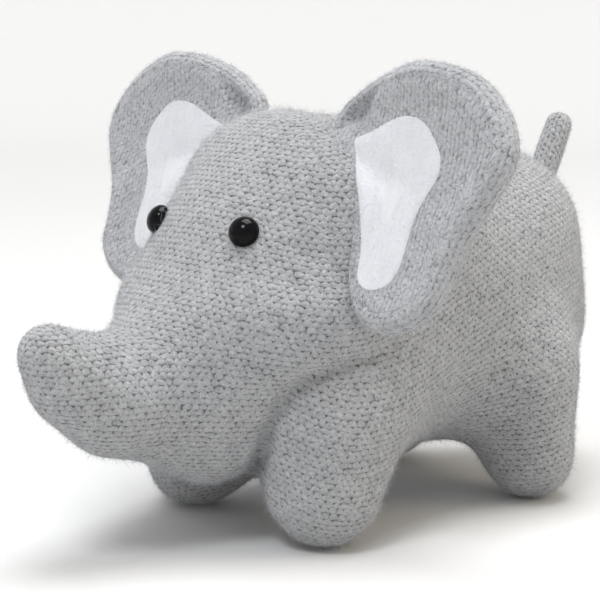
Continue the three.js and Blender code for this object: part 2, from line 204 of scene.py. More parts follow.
def finer(v, f):
    """Each quad becomes four. Gives the new faces and the parents of each new point."""
    e = edges_of(f)
    n, ne = len(v), len(e)
    key = {}
    code = e[:, 0].astype(np.int64) * n + e[:, 1]

    def mid(a, b):
        lo, hi = np.minimum(a, b).astype(np.int64), np.maximum(a, b)
        return n + np.searchsorted(code, lo * n + hi)

    a, b, c, d = f.T
    ab, bc, cd, da = mid(a, b), mid(b, c), mid(c, d), mid(d, a)
    m = n + ne + np.arange(len(f))
    nf = np.concatenate([np.stack(q, 1) for q in ((a, ab, m, da), (ab, b, bc, m), (m, bc, c, cd), (da, m, cd, d))])
    nv = np.concatenate([v, v[e].mean(1), v[f].mean(1)])
    return nv, nf, e, f


def normals_of(v, f):
    a, b, c, d = (v[f[:, i]] for i in range(4))
    fn = np.cross(c - a, d - b)
    n = np.zeros_like(v)
    for i in range(4):
        for k in range(3):
            n[:, k] += np.bincount(f[:, i], fn[:, k], len(v))
    return unit(n)


# ------------------------------------------------------- skin of the whole toy
def rough_form():
    bm = bmesh.new()
    from mathutils import Matrix

    def ball(c, r):
        m = Matrix.Translation([x * MM for x in c]) @ Matrix.Diagonal([x * MM for x in r] + [1])
        bmesh.ops.create_icosphere(bm, subdivisions=4, radius=1.0, matrix=m)

    for c, r in (BARREL, RUMP, WITHERS, CHEST, SKULL, CHEEKS):
        ball(c, r)
    for i in range(3):
        for t in np.linspace(0, 1, 7):
            y, z, r = (np.array(TRUNK[i]) * (1 - t) + np.array(TRUNK[i + 1]) * t)
            ball((0, y, z), (r, r, r))
    for s in (1, -1):
        for g in (FRONT, REAR):
            for t in np.linspace(0, 1, 6):
                c = np.array([s * g["x"], g["y"], g["r"] - 0.8]) * (1 - t) + np.array([s * g["tx"], g["ty"], g["tz"]]) * t
                r = g["r"] * (1 - t) + g["tr"] * t
                ball(c, (r, r, r))
    me = bpy.data.meshes.new("rough")
    bm.to_mesh(me)
    bm.free()
    ob = bpy.data.objects.new("rough", me)
    bpy.context.scene.collection.objects.link(ob)
    mod = ob.modifiers.new("voxels", "REMESH")
    mod.mode = "VOXEL"
    mod.voxel_size = 0.003
    dg = bpy.context.evaluated_depsgraph_get()
    out = bpy.data.meshes.new_from_object(ob.evaluated_get(dg))
    v, f = read_mesh(out)
    bpy.data.objects.remove(ob)
    bpy.data.meshes.remove(me)
    bpy.data.meshes.remove(out)
    return v / MM, f


def inflate(v, faces, hold, cap, frames=20):
    """Cloth with air pressure and no gravity: how far each point of a stuffed skin moves, capped (mm)."""
    ob = make_object("puff", v, faces)
    group = ob.vertex_groups.new(name="sewn")
    for i in np.nonzero(hold > 0.01)[0]:
        group.add([int(i)], float(hold[i]), "REPLACE")
    mod = ob.modifiers.new("cloth", "CLOTH")
    mod.settings.quality = 4
    mod.settings.mass = 0.15
    mod.settings.tension_stiffness = mod.settings.compression_stiffness = 12
    mod.settings.shear_stiffness = 5
    mod.settings.bending_stiffness = 0.4
    mod.settings.shrink_min = -0.02
    mod.settings.use_pressure = True
    mod.settings.uniform_pressure_force = 4.0
    mod.settings.effector_weights.gravity = 0.0
    mod.settings.vertex_group_mass = "sewn"
    mod.collision_settings.use_collision = False
    mod.point_cache.frame_start, mod.point_cache.frame_end = 1, frames + 1
    for fr in range(1, frames + 1):
        bpy.context.scene.frame_set(fr)
    dg = bpy.context.evaluated_depsgraph_get()
    me = ob.evaluated_get(dg).data
    out = np.empty(len(me.vertices) * 3)
    me.vertices.foreach_get("co", out)
    move = out.reshape(-1, 3) / MM - v
    bpy.data.objects.remove(ob)
    bpy.context.scene.frame_set(1)
    far = np.linalg.norm(move, axis=1)
    return move * (cap * np.tanh(far / cap) / np.maximum(far, 1e-9))[:, None]


def head_side(p):
    """Below zero on the head's side of the join between head and shoulders."""
    q = np.stack([np.abs(p[..., 0]), p[..., 1], p[..., 2]], -1)
    d = soften(mass(q, BARREL), mass(q, RUMP), 24)
    d = soften(d, mass(q, WITHERS), 24)
    d = soften(d, mass(q, CHEST), 20)
    d = soften(d, leg(q, FRONT), 18)
    h = soften(mass(q, SKULL), mass(q, CHEEKS), 16)
    t = cone(q, (0, *TRUNK[0][:2]), (0, *TRUNK[1][:2]), TRUNK[0][2], TRUNK[1][2])
    return soften(h, t, 22) - d


V0, F0 = rough_form()
NB0 = neighbours(len(V0), F0)
for _ in range(10):
    V0 = onto(V0, steps=1)
    V0 = 0.5 * V0 + 0.5 * average(V0, NB0)
V0 = onto(V0, steps=3)
# ease the joints between the masses without losing size
for _ in range(4):
    V0 = V0 + 0.55 * (average(V0, NB0) - V0)
    V0 = V0 - 0.57 * (average(V0, NB0) - V0)


# the fold where the cheeks and jaw press against the shoulders and front legs
def fold_of(p):
    s = head_side(p)
    low = np.clip(1.5 - 0.014 * (p[:, 2] - 20), 0.5, 1.5) * np.clip((82 - p[:, 2]) / 26, 0, 1)
    return low * np.exp(-((s / 2.5) ** 2)) * np.clip((8 - p[:, 1]) / 40, 0.25, 1)


V0 = V0 - 0.8 * normals_of(V0, F0)
hold = np.clip(0.6 * fold_of(V0) + np.clip((2.5 - V0[:, 2]) / 1.0, 0, 1), 0, 1)
V0 = V0 + inflate(V0, F0, hold, 1.6)
V0 = V0 + 0.4 * (average(V0, NB0) - V0)
FILLING_V, FILLING_F = onto(V0, level=-6.0, steps=3), F0
for _ in range(3):
    FILLING_V = FILLING_V + 0.5 * (average(FILLING_V, NB0) - FILLING_V)


def soles(v):
    """The feet flatten a little where the toy stands."""
    out = v.copy()
    z = out[:, 2]
    out[:, 2] = np.where(z < 1.2, 1.2 - (1.2 - z) / (1 + 0.9 * np.maximum(1.2 - z, 0)), z)
    out[:, 2] = np.maximum(out[:, 2], 0.12)
    return out


# the knit's courses: each is a level line of height, tilted over the flank
LU, LV = 2.75, 3.9  # mm: width of a purl stitch, and height of two courses


def lean(y):
    return np.interp(y, [-120, -40, 10, 60, 90, 120], [0.0, 0.02, 0.30, 0.26, 0.08, 0.0])


def course_fields(v, n):
    a = np.zeros_like(v)
    a[:, 1] = -lean(v[:, 1])
    # on the face the courses arch up over the middle
    a[:, 0] = 0.0085 * v[:, 0] * np.clip((-22 - v[:, 1]) / 20, 0, 1)
    a[:, 2] = 1.0
    # the pole of the courses sits behind the crown, between the ears
    g = a - (a * n).sum(1)[:, None] * n
    g = unit(g)
    along = np.cross(n, g)
    return along * (2 * math.pi / LU), g * (2 * math.pi / LV)


def relax(psi, v, g, nb, rounds):
    table, weight = nb
    step = v[table] - v[:, None, :]
    turn = -0.5 * ((g[table] + g[:, None, :]) * step).sum(-1)
    carry = np.exp(1j * turn) * weight
    for i in range(rounds):
        new = (psi[table] * carry).sum(1)
        psi = 0.35 * psi + 0.65 * new / np.maximum(weight.sum(1), 1)
        if i % 5 == 4:
            psi = psi / np.maximum(np.abs(psi), 1e-9) ** 0.6
    return psi / np.maximum(np.abs(psi), 1e-9)


def prolong(psi, v_old, v_new, g_new, e, f):
    n = len(v_old)
    out = np.empty(len(v_new), complex)
    out[:n] = psi * np.exp(1j * ((v_new[:n] - v_old) * g_new[:n]).sum(1))
    for start, parents in ((n, e), (n + len(e), f)):
        rows = np.arange(start, start + len(parents))
        total = np.zeros(len(parents), complex)
        for k in range(parents.shape[1]):
            j = parents[:, k]
            total += psi[j] * np.exp(1j * ((v_new[rows] - v_old[j]) * g_new[rows]).sum(1))
        out[rows] = total
    return out / np.maximum(np.abs(out), 1e-9)


rng = np.random.default_rng(7)
V, F, NB = V0, F0, NB0
N = normals_of(V, F)
GU, GV = course_fields(V, N)
pu = relax(np.exp(2j * math.pi * rng.random(len(V))), V, GU, NB, 700)
pv = relax(np.exp(2j * math.pi * rng.random(len(V))), V, GV, NB, 700)
LEVELS = 2
for level in range(LEVELS):
    Vn, Fn, E, FP = finer(V, F)
    nb = neighbours(len(Vn), Fn)
    for _ in range(2):
        Vn = Vn + 0.5 * (average(Vn, nb) - Vn)
    Nn = normals_of(Vn, Fn)
    GU, GV = course_fields(Vn, Nn)
    pu = prolong(pu, V, Vn, GU, E, FP)
    pv = prolong(pv, V, Vn, GV, E, FP)
    V, F, NB, N = Vn, Fn, nb, Nn
    rounds = 120 if level == 0 else 12
    pu = relax(pu, V, GU, NB, rounds)
    pv = relax(pv, V, GV, NB, rounds)
print("SKIN points", len(V), "faces", len(F))

# seams: the neck seam draws the knit in a little
NECK = lambda p: (p[:, 1] + 12.5) - 0.42 * (p[:, 2] - 138.2)
pinch = np.exp(-((NECK(V) / 1.6) ** 2)) * np.clip((95 - V[:, 2]) / 25, 0, 1)
V = V - N * (0.5 * pinch * np.clip((V[:, 2] - 60) / 20, 0, 1) + 2.3 * fold_of(V))[:, None]
# hand-sewn unevenness: slow, shallow dents
lump = (np.sin(V[:, 0] * 0.071 + 1.3) * np.sin(V[:, 1] * 0.063 + 0.4) * np.sin(V[:, 2] * 0.085 + 2.0)
        + 0.6 * np.sin(V[:, 0] * 0.14 + V[:, 1] * 0.09) * np.sin(V[:, 2] * 0.15 - V[:, 1] * 0.05 + 1.0))
V = V + N * (0.45 * lump)[:, None]
V = soles(V)


def split(v, f, keep, extra):
    """The faces chosen by keep as a mesh of their own, with the per-point data."""
    ff = f[keep]
    used, inv = np.unique(ff, return_inverse=True)
    return v[used], inv.reshape(ff.shape), [x[used] for x in extra], used


def knit_attributes(ob, u, w):
    put_vector(ob, "stitch_u", np.stack([u.real, u.imag, 0 * u.real], 1))
    put_vector(ob, "stitch_v", np.stack([w.real, w.imag, 0 * w.real], 1))


# ---------------------------------------------------------------- materials
def new_material(name):
    m = bpy.data.materials.new(name)
    m.use_nodes = True
    nt = m.node_tree
    nt.nodes.clear()
    out = nt.nodes.new("ShaderNodeOutputMaterial")
    p = nt.nodes.new("ShaderNodeBsdfPrincipled")
    nt.links.new(p.outputs[0], out.inputs[0])
    return m, nt, p


class Nodes:
    def __init__(self, nt):
        self.nt = nt

    def put(self, socket, value):
        if hasattr(value, "is_output") or isinstance(value, bpy.types.NodeSocket):
            self.nt.links.new(value, socket)
        else:
            socket.default_value = value

    def math(self, op, a, b=None, c=None, clamp=False):
        n = self.nt.nodes.new("ShaderNodeMath")
        n.operation = op
        n.use_clamp = clamp
        for i, x in enumerate((a, b, c)):
            if x is not None:
                self.put(n.inputs[i], x)
        return n.outputs[0]

    def ramp(self, x, lo, hi, a=0.0, b=1.0):
        n = self.nt.nodes.new("ShaderNodeMapRange")
        n.interpolation_type = "SMOOTHSTEP"
        self.put(n.inputs[0], x)
        n.inputs[1].default_value, n.inputs[2].default_value = lo, hi
        n.inputs[3].default_value, n.inputs[4].default_value = a, b
        return n.outputs[0]

    def attribute(self, name):
        n = self.nt.nodes.new("ShaderNodeAttribute")
        n.attribute_name = name
        return n

    def xyz(self, v):
        n = self.nt.nodes.new("ShaderNodeSeparateXYZ")
        self.nt.links.new(v, n.inputs[0])
        return n.outputs

    def noise(self, scale, detail=2.0, rough=0.5, vector=None, stretch=None):
        n = self.nt.nodes.new("ShaderNodeTexNoise")
        n.inputs["Scale"].default_value = scale
        n.inputs["Detail"].default_value = detail
        n.inputs["Roughness"].default_value = rough
        if vector is None:
            tc = self.nt.nodes.new("ShaderNodeTexCoord")
            vector = tc.outputs["Object"]
        if stretch:
            mp = self.nt.nodes.new("ShaderNodeMapping")
            mp.inputs["Scale"].default_value = stretch
            self.nt.links.new(vector, mp.inputs[0])
            vector = mp.outputs[0]
        self.nt.links.new(vector, n.inputs["Vector"])
        return n.outputs[0]

    def mix(self, t, a, b):
        n = self.nt.nodes.new("ShaderNodeMix")
        n.data_type = "RGBA"
        self.put(n.inputs[0], t)
        for sock, x in ((n.inputs[6], a), (n.inputs[7], b)):
            if isinstance(x, tuple):
                sock.default_value = (*x, 1.0)
            else:
                self.nt.links.new(x, sock)
        return n.outputs[2]

    def bump(self, height, distance, strength=1.0, normal=None):
        n = self.nt.nodes.new("ShaderNodeBump")
        n.inputs["Strength"].default_value = strength
        n.inputs["Distance"].default_value = distance
        self.nt.links.new(height, n.inputs["Height"])
        if normal is not None:
            self.nt.links.new(normal, n.inputs["Normal"])
        return n.outputs[0]


def knit_material(name, light, mid, dark, depth=0.0011, pit_shade_strength=0.78, fuzz=0.5, arc=0.36):
    m, nt, p = new_material(name)
    k = Nodes(nt)
    u = k.xyz(k.attribute("stitch_u").outputs["Vector"])
    w = k.xyz(k.attribute("stitch_v").outputs["Vector"])

    def norm(a, b):
        length = k.math("SQRT", k.math("ADD", k.math("MULTIPLY", a, a), k.math("MULTIPLY_ADD", b, b, 1e-6)))
        return k.math("DIVIDE", a, length), k.math("DIVIDE", b, length)

    cu, su = norm(u[0], u[1])
    cv, sv = norm(w[0], w[1])

    # soft yarn: the stitches wander a little from their straight courses
    def wander(c, sn, scale, amount):
        e = k.math("MULTIPLY_ADD", k.noise(scale, 2.0, 0.6), amount, -0.5 * amount)
        ce, se = k.math("COSINE", e), k.math("SINE", e)
        c2 = k.math("SUBTRACT", k.math("MULTIPLY", c, ce), k.math("MULTIPLY", sn, se))
        s2 = k.math("ADD", k.math("MULTIPLY", sn, ce), k.math("MULTIPLY", c, se))
        return c2, s2

    cu, su = wander(cu, su, 190.0, 7.5)
    cv, sv = wander(cv, sv, 230.0, 2.6)

    def bead(sign):
        """One course of purl loops: wide oval beads, their ends bent down."""
        across = k.math("DIVIDE", k.math("ARCTAN2", k.math("MULTIPLY", su, sign), k.math("MULTIPLY", cu, sign)), math.pi)
        up = k.math("MULTIPLY", k.math("ARCTAN2", k.math("MULTIPLY", sv, sign), k.math("MULTIPLY", cv, sign)), 1.95 / math.pi)
        p2 = k.math("MULTIPLY", across, across)
        bent = k.math("MULTIPLY_ADD", p2, arc, up)
        bent = k.math("DIVIDE", bent, 1.03)
        wide = k.math("MULTIPLY", k.math("POWER", k.math("MAXIMUM", p2, 1e-6), 1.1), 0.86)
        return k.math("SUBTRACT", k.math("SUBTRACT", 1.0, wide), k.math("MULTIPLY", bent, bent))

    top = k.math("MAXIMUM", bead(1.0), bead(-1.0))
    dome = k.math("SQRT", k.math("MAXIMUM", k.math("MULTIPLY_ADD", top, 0.8, 0.2), 0.0))
    uneven = k.noise(345.0, 1.0, 0.5)
    warp = k.noise(1200.0, 2.0, 0.6)
    fine = k.noise(3600.0, 3.0, 0.7)
    dome = k.math("ADD", dome, k.math("MULTIPLY_ADD", uneven, 1.3, k.math("MULTIPLY_ADD", warp, 0.8, -1.05)))
    height = k.math("ADD", dome, k.math("MULTIPLY_ADD", fine, 0.55, -0.27))
    # grey marl: pale and dark fibres spun together
    marl = k.noise(1250.0, 4.0, 0.75)
    speck = k.ramp(marl, 0.33, 0.67)
    patchy = k.ramp(uneven, 0.25, 0.75)
    base = k.mix(k.math("MULTIPLY_ADD", patchy, 0.35, k.math("MULTIPLY", speck, 0.7), clamp=True), mid, light)
    # painted shade: the hollows between the beads are coloured towards the dark third colour, standing in for the shade
    # the bump alone leaves out
    painted_pit_shade = k.math("MULTIPLY", k.ramp(k.math("MULTIPLY_ADD", fine, 0.4, k.math("SUBTRACT", dome, 0.2)), 0.04, 0.58, 1.0, 0.0), pit_shade_strength)
    colour = k.mix(painted_pit_shade, base, dark)
    nt.links.new(colour, p.inputs["Base Color"])
    rough = k.ramp(fine, 0.2, 0.8, 0.86, 1.0)
    nt.links.new(rough, p.inputs["Roughness"])
    p.inputs["Specular IOR Level"].default_value = 0.18
    p.inputs["Sheen Weight"].default_value = fuzz
    p.inputs["Sheen Roughness"].default_value = 0.45
    p.inputs["Sheen Tint"].default_value = (0.92, 0.93, 0.96, 1.0)
    nt.links.new(k.bump(height, depth), p.inputs["Normal"])
    return m


def fibre_material(name, a, b, sheen=0.3):
    m, nt, p = new_material(name)
    k = Nodes(nt)
    t = k.attribute("tone").outputs["Fac"]
    streak = k.noise(2500.0, 2.0, 0.5)
    colour = k.mix(k.math("ADD", t, k.math("MULTIPLY_ADD", streak, 0.3, -0.15), clamp=True), a, b)
    nt.links.new(colour, p.inputs["Base Color"])
    p.inputs["Roughness"].default_value = 0.8
    p.inputs["Specular IOR Level"].default_value = 0.2
    p.inputs["Sheen Weight"].default_value = sheen
    p.inputs["Sheen Roughness"].default_value = 0.4
    return m


def fill_material():
    m, nt, p = new_material("fibre_filling")
    k = Nodes(nt)
    wool = k.noise(260.0, 6.0, 0.7)
    nt.links.new(k.mix(k.ramp(wool, 0.3, 0.7), (0.72, 0.71, 0.68), (0.90, 0.89, 0.87)), p.inputs["Base Color"])
    p.inputs["Roughness"].default_value = 0.98
    p.inputs["Sheen Weight"].default_value = 0.4
    nt.links.new(k.bump(wool, 0.002), p.inputs["Normal"])
    return m


filling = fill_material()


# the third colour of each knit is painted shade for the pits between stitches, not a colour of the yarn
LIGHT, MIDG, PIT_SHADE = (0.58, 0.586, 0.597), (0.315, 0.319, 0.328), (0.028, 0.029, 0.033)
knit = knit_material("grey_marl_knit", LIGHT, MIDG, PIT_SHADE)
knit_ear = knit_material("grey_marl_knit_ear", (0.55, 0.558, 0.58), (0.33, 0.336, 0.35), (0.04, 0.042, 0.05), depth=0.0009, pit_shade_strength=0.62, arc=0.2)
fibre_grey = fibre_material("grey_fibre", (0.24, 0.245, 0.26), (0.70, 0.71, 0.735))
fibre_white = fibre_material("white_fibre", (0.66, 0.67, 0.71), (0.84, 0.85, 0.88))


# ------------------------------------------------------------------- fibres
def fibres(name, v, f, n, per_mm2, length, width, body, material, lift=0.75, seed=1, mask=None, start=None, curl=0.5):
    """Loose fibres of a brushed cloth: tapered, bent ribbons rooted in the surface."""
    r = np.random.default_rng(seed)
    tri = np.concatenate([f[:, [0, 1, 2]], f[:, [0, 2, 3]]]) if f.shape[1] == 4 else f
    a, b, c = (v[tri[:, i]] for i in range(3))
    area = 0.5 * np.linalg.norm(np.cross(b - a, c - a), axis=1)
    if mask is not None:
        area = area * mask(((a + b + c) / 3))
    count = int(area.sum() * per_mm2 * (1.0))
    pick = r.choice(len(tri), count, p=area / area.sum())
    s, t = r.random(count), r.random(count)
    flip = s + t > 1
    s[flip], t[flip] = 1 - s[flip], 1 - t[flip]
    root = a[pick] + s[:, None] * (b - a)[pick] + t[:, None] * (c - a)[pick]
    nn = unit(n[tri[pick]].mean(1))
    side = unit(np.cross(nn, r.normal(size=(count, 3))))
    out = unit(nn * lift * (0.55 + 0.9 * r.random(count))[:, None] + side)
    bend = unit(np.cross(nn, side)) * (r.normal(size=count) * curl)[:, None] - nn * (0.25 * r.random(count))[:, None]
    ln = length * (0.45 + 0.9 * r.random(count) ** 1.6)
    across = unit(np.cross(out, r.normal(size=(count, 3)))) * (width * (0.7 + 0.6 * r.random(count)))[:, None] / 2
    root = root - nn * 0.25
    p1 = root + out * (ln * 0.5)[:, None] + bend * (ln * 0.12)[:, None]
    p2 = root + out * (ln * 0.95)[:, None] + bend * (ln * 0.5)[:, None]
    pts = np.stack([root - across, root + across, p1 + across * 0.8, p1 - across * 0.8, p2], 1).reshape(-1, 3)
    pts[:, 2] = np.maximum(pts[:, 2], 0.05)
    base = np.arange(count)[:, None] * 5
    quads = base + np.array([[0, 1, 2, 3]])
    tris = base + np.array([[3, 2, 4]])
    ob = make_object(name, pts, [quads, tris], smooth=False)
    put_float(ob, "tone", np.repeat(np.clip(r.normal(0.55, 0.25, count), 0, 1), 5))
    ob.data.materials.append(material)
    if body:
        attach(ob, body)
    return ob


# ----------------------------------------------------- head and body covers
centres = V[F].mean(1)
LEGS = ["front_leg_left", "front_leg_right", "rear_leg_left", "rear_leg_right"]
in_head = NECK(centres) < 0
taken = in_head.copy()
PIECES = [("head", in_head, "head_cover")]
for leg_name, g in (("front_leg", FRONT), ("rear_leg", REAR)):
    for side_name, side in (("left", 1), ("right", -1)):
        near = (centres[:, 2] < 27) & (np.hypot(centres[:, 0] - side * g["x"], centres[:, 1] - g["y"]) < 24) & ~taken
        taken |= near
        PIECES.append((f"{leg_name}_{side_name}", near, f"{leg_name}_{side_name}_cover"))
for side_name, side in (("left", 1), ("right", -1)):
    PIECES.append((f"body_{side_name}", ~taken & (centres[:, 0] * side >= 0), f"body_cover_{side_name}"))


def off_tail(p):
    """No loose fibres where the tail is sewn on, so none is caught in its bend."""
    return (np.linalg.norm(p - [0.0, 107.0, 105.9], axis=1) > 11.0).astype(float)


for i, (name, keep, node) in enumerate(PIECES):
    vv, ff, (uu, ww, nrm), used = split(V, F, keep, (pu, pv, N))
    ob = make_object(f"{name}_knit", vv, ff)
    knit_attributes(ob, uu, ww)
    ob.data.materials.append(knit)
    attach(ob, "body")
    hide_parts(node)
    fz = fibres(f"{name}_fibres", vv, ff, nrm, 1.7, 2.2, 0.075, "body", fibre_grey, seed=11 + i, mask=off_tail)
    fz = fibres(f"{name}_halo", vv, ff, nrm, 0.5, 4.0, 0.055, "body", fibre_grey, lift=1.3, seed=91 + i, mask=off_tail, curl=0.9)

core = make_object("body_filling", FILLING_V, FILLING_F)
core.data.materials.append(filling)
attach(core, "body")
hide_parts("body_stuffing", "head_stuffing", *[f"{x}_stuffing" for x in LEGS])

# ---------------------------------------------------------------------- ears
EAR_O = np.array([0, -18.12, 126.41])
LEAN = math.atan2(0.303, 0.953)
EX, EV, EW = np.array([1.0, 0, 0]), np.array([0, math.sin(LEAN), math.cos(LEAN)]), np.array([0, -math.cos(LEAN), math.sin(LEAN)])
EAR_HALF = 4.3
EAR_C = np.array([62.0, -10.0])
EAR_LINE = np.array([
    (20.8, 16.2), (25.8, 20.3), (34.5, 25.5), (43.8, 28.5), (52.3, 30.3), (60.2, 30.6), (66.9, 30.3), (72.6, 29.5),
    (78.8, 28.0), (84.9, 25.2), (90.0, 21.5), (94.7, 17.1), (98.0, 12.4), (100.5, 6.6), (100.6, 1.0), (99.3, -3.6),
    (97.0, -8.6), (94.5, -13.8), (91.9, -18.9), (89.7, -24.4), (88.2, -31.6), (87.0, -38.3), (85.2, -43.6), (82.0, -48.0),
    (77.6, -51.7), (72.0, -54.3), (66.3, -55.6), (60.7, -55.6), (56.0, -53.8), (51.0, -50.0), (46.0, -42.0), (40.0, -24.0),
    (31.0, -6.0), (19.0, 8.0)])
PATCH_C = np.array([56.0, -14.0])
PATCH_LINE = np.array([
    (32.5, 4.3), (35.0, -0.5), (38.5, -6.2), (42.6, -13.3), (46.0, -20.2), (49.0, -27.5), (50.4, -33.0), (51.2, -37.6),
    (53.0, -41.0), (56.8, -42.6), (61.5, -41.9), (65.2, -39.6), (67.2, -36.2), (68.0, -31.7), (67.9, -26.2), (68.2, -20.2),
    (69.4, -14.8), (71.6, -10.2), (73.6, -6.6), (74.2, -2.5), (73.1, 1.6), (69.9, 5.9), (66.0, 9.6), (61.5, 11.8),
    (56.3, 12.3), (51.2, 11.4), (46.1, 9.5), (40.5, 7.2), (35.5, 5.6)])


def reach_of(line, centre):
    """Distance from a centre to a closed smooth outline, by angle."""
    p = np.array(line, float)
    dense = []
    n = len(p)
    for i in range(n):
        a, b, c, d = p[i - 1], p[i], p[(i + 1) % n], p[(i + 2) % n]
        for t in np.linspace(0, 1, 12, endpoint=False):
            dense.append(0.5 * (2 * b + (c - a) * t + (2 * a - 5 * b + 4 * c - d) * t**2 + (3 * b - a - 3 * c + d) * t**3))
    dense = np.array(dense) - centre
    ang = np.arctan2(dense[:, 1], dense[:, 0])
    rad = np.hypot(dense[:, 0], dense[:, 1])
    order = np.argsort(ang)
    ang, rad = ang[order], rad[order]
    ang = np.concatenate([ang[-4:] - 2 * math.pi, ang, ang[:4] + 2 * math.pi])
    rad = np.concatenate([rad[-4:], rad, rad[:4]])
    return lambda a: np.interp(np.arctan2(np.sin(a), np.cos(a)), ang, rad)


ear_reach, patch_reach = reach_of(EAR_LINE, EAR_C), reach_of(PATCH_LINE, PATCH_C)
# how far the ear's middle surface stands in front of its plane (u, v, w)
SWAY = np.array([
    (20.8, 16.2, -2.0), (25.8, 20.3, -2.7), (34.5, 25.5, -2.6), (43.8, 28.5, -0.6), (52.3, 30.3, 1.9), (60.2, 30.6, 3.5),
    (66.9, 30.3, 3.6), (72.6, 29.5, 2.7), (78.8, 28.2, 0.8), (84.9, 25.4, 0.3), (89.9, 21.5, -0.4), (97.7, 12.8, -0.8),
    (100.8, 1.1, -1.3), (97.0, -8.3, -1.3), (91.9, -18.6, -1.5), (87.9, -32.2, -0.7), (85.8, -43.3, 1.2), (78.0, -51.4, 1.1),
    (66.3, -55.0, 1.2), (53.0, -50.0, 0.5), (46.0, -22.0, -0.5), (62.0, -10.0, -0.6), (33.0, 2.7, -1.5)])


def sway(u, v):
    d2 = (u[:, None] - SWAY[:, 0]) ** 2 + (v[:, None] - SWAY[:, 1]) ** 2
    w = 1.0 / (d2 + 40.0) ** 1.5
    return (w * SWAY[:, 2]).sum(1) / w.sum(1)


def ear_depth(u, v):
    """Distance in from the ear's outline, and the outline's reach there."""
    d = np.stack([u, v], 1) - EAR_C
    R = ear_reach(np.arctan2(d[:, 1], d[:, 0])) - 0.7
    return R - np.hypot(d[:, 0], d[:, 1]), R


def ear_face(u, v):
    """Half thickness: a full rolled rim with a softer middle, where the pale patch is sewn."""
    d, R = ear_depth(u, v)
    d = np.maximum(d, 0)
    roll = np.sqrt(np.clip(1 - (1 - np.minimum(d / 4.6, 1)) ** 2, 0, 1))
    dip = 1 - 0.36 * (1 / (1 + np.exp(-(d - 10.5) / 1.6)))
    # a gathered fold at the top inner corner, just inside the rim
    across = (u - 31.5) * -0.62 + (v - 14.5) * 0.78
    along = (u - 31.5) * 0.78 + (v - 14.5) * 0.62
    fold = 0.75 * np.exp(-((across / 2.6) ** 2)) * np.exp(-((along / 8.5) ** 2))
    # where the turned edge is caught down by its seam
    seam = 0.05 * np.exp(-(((d - 5.9) / 0.8) ** 2))
    return EAR_HALF * roll * dip * (1 - fold) * (1 - seam)


def rim_stitches(uv, z):
    """Stitch phases of the ear: courses run round the turned edge, and upright inside it."""
    d, R = ear_depth(*uv.T)
    q = uv - EAR_C
    ang = np.mod(np.arctan2(q[:, 1], q[:, 0]), 2 * math.pi)
    turn = np.linspace(0, 2 * math.pi, 1441)
    ring = EAR_C + (ear_reach(turn) - 3.0)[:, None] * np.stack([np.cos(turn), np.sin(turn)], -1)
    step = np.concatenate([[0], np.cumsum(np.linalg.norm(np.diff(ring, axis=0), axis=1))])
    count = round(step[-1] / 2.7)
    along = np.interp(ang, turn, step) / step[-1] * count
    over = np.sign(z) * 4.4 * np.arccos(np.clip(1 - np.maximum(d, 0) / 4.6, 0, 1))
    u, v = uv.T
    wob = 0.25 * np.sin(u * 0.31 + v * 0.17) + 0.2 * np.sin(v * 0.43 - u * 0.11)
    rim = d < 5.9
    pu_ = np.where(rim, along, (v + wob) / 2.6)
    pv_ = np.where(rim, over / 3.9, (u + wob) / 3.7)
    return np.exp(2j * math.pi * pu_), np.exp(2j * math.pi * pv_)


def ear_middle(u, v):
    pleat = -3.0 * np.exp(-(((u - 28) / 8.0) ** 2 + ((v - 12) / 6.5) ** 2))
    # a soft diagonal dent across the patch
    dent = -0.9 * np.exp(-((((v + 6) + 0.35 * (u - 50)) / 5.0) ** 2)) * np.exp(-(((u - 48) / 16) ** 2))
    return sway(u, v) + pleat + dent


def ear_world(u, v, w, side):
    p = EAR_O + u[:, None] * EX + v[:, None] * EV + w[:, None] * EW
    return p * np.array([side, 1, 1])


ROOT_MID = np.array([45.0, -20.0])
ROOT_OUT = np.array([0.895, 0.446])


def polar(centre, reach, rings, around, power=0.5):
    """Rings of points from a centre out to an outline, front and back, as one closed skin."""
    th = np.linspace(0, math.pi, 2 * rings + 1)[1:-1]
    ph = np.linspace(0, 2 * math.pi, around, endpoint=False)
    s = np.sin(th) ** power
    R = reach(ph)
    uv = centre + (s[:, None] * R[None])[..., None] * np.stack([np.cos(ph), np.sin(ph)], -1)[None]
    z = np.cos(th)[:, None] * np.ones(around)
    idx = np.arange(len(th) * around).reshape(len(th), around)
    a, b = idx[:-1], idx[1:]
    quads = np.stack([a, b, np.roll(b, -1, 1), np.roll(a, -1, 1)], -1).reshape(-1, 4)
    n = idx.size
    caps = np.concatenate([
        np.stack([np.full(around, n), idx[0], np.roll(idx[0], -1)], -1),
        np.stack([np.full(around, n + 1), np.roll(idx[-1], -1), idx[-1]], -1)])
    uv = np.concatenate([uv.reshape(-1, 2), [centre, centre]])
    z = np.concatenate([z.ravel(), [1.0, -1.0]])
    return uv, z, quads, caps


def grid_normals(v, quads, caps):
    n = np.zeros_like(v)
    for faces in (quads, caps):
        a, b, c = v[faces[:, 0]], v[faces[:, 1]], v[faces[:, 2]]
        fn = np.cross(b - a, c - a)
        for i in range(faces.shape[1]):
            for k in range(3):
                n[:, k] += np.bincount(faces[:, i], fn[:, k], len(v))
    return unit(n)




def ear_bend(ob):
    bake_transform(ob)


